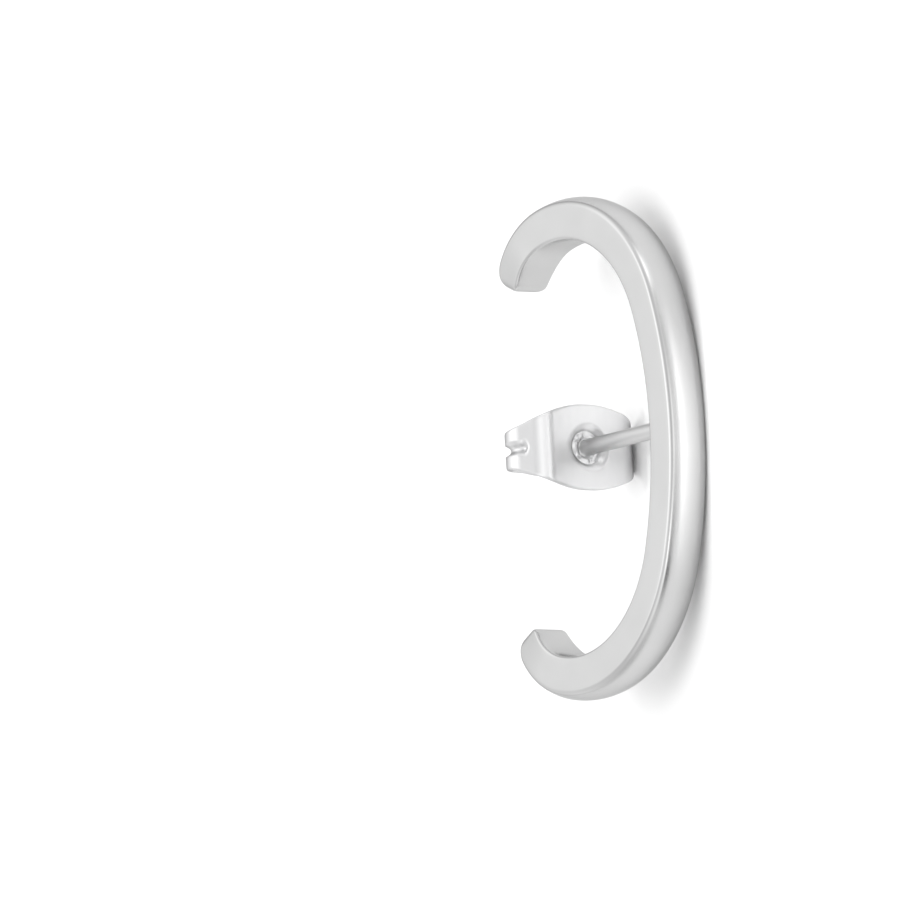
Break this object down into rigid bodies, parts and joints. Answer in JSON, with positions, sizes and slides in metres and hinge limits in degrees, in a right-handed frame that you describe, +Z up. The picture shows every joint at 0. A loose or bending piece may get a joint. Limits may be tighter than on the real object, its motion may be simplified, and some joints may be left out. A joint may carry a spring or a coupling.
{
  "type": "suspender stud earring",
  "caption": "Polished C-shaped bar that hugs the front edge of the ear, with a soldered post from its inner side and a butterfly clutch that slides onto the post, lying on its side.",
  "frame": {"origin": "middle of the whole earring's footprint, on the surface that it lies on", "axes": "+X towards the end of the bar that is the top when worn, -Y towards the front of the bar, +Y towards the clutch and the hooked ends, +Z up from the surface"},
  "size_m": [0.0244, 0.014, 0.0068],
  "materials": {
    "polished_metal": "polished silver-tone plating",
    "satin_metal": "silver-tone sheet, softly polished"
  },
  "bodies": {
    "earring": {"curved_bar": "polished_metal"},
    "clutch": {"butterfly_clutch": "satin_metal"}
  },
  "joints": [
    {"name": "clutch_slide", "type": "slide", "parent": "earring", "child": "clutch", "axis": [0, 0.9708, 0.2399], "range_m": [-0.006, 0.01]}
  ]
}
